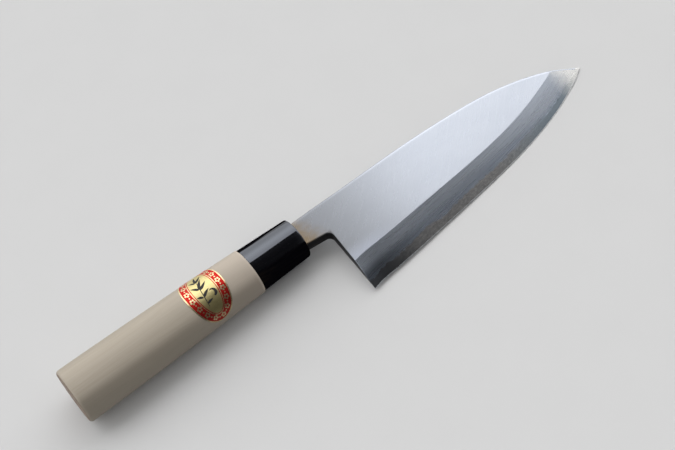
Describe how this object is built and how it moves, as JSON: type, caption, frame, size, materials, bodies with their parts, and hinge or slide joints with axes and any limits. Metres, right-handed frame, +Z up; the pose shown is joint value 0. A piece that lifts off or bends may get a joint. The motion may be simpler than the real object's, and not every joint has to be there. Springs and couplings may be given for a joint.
{
  "type": "deba knife",
  "caption": "Heavy single-bevel fish knife: thick pointed blade with a hard steel edge, oval pale wood handle with a black horn collar and a foil label, lying on its back side",
  "frame": {"origin": "middle of the underside of the part's box: the point on the board below the middle of the knife, as it lies on its collar's rim and the belly of its edge", "axes": "+X from the butt to the tip, along the handle as seen from above; +Y from the edge to the spine; +Z up, out of the ground front of the blade"},
  "size_m": [0.3048, 0.0582, 0.0245],
  "materials": {
    "soft_iron": "satin, finely ground",
    "edge_steel": "polished edge, ground hollow back",
    "pale_wood": "smooth unlacquered magnolia",
    "black_horn": "polished",
    "resin": "dark resin",
    "foil_label": "gold and red foil on paper"
  },
  "bodies": {
    "root": {"jigane": "soft_iron", "hagane": "edge_steel", "handle": "pale_wood", "ferrule": "black_horn", "seal": "resin", "label": "foil_label"}
  },
  "joints": []
}
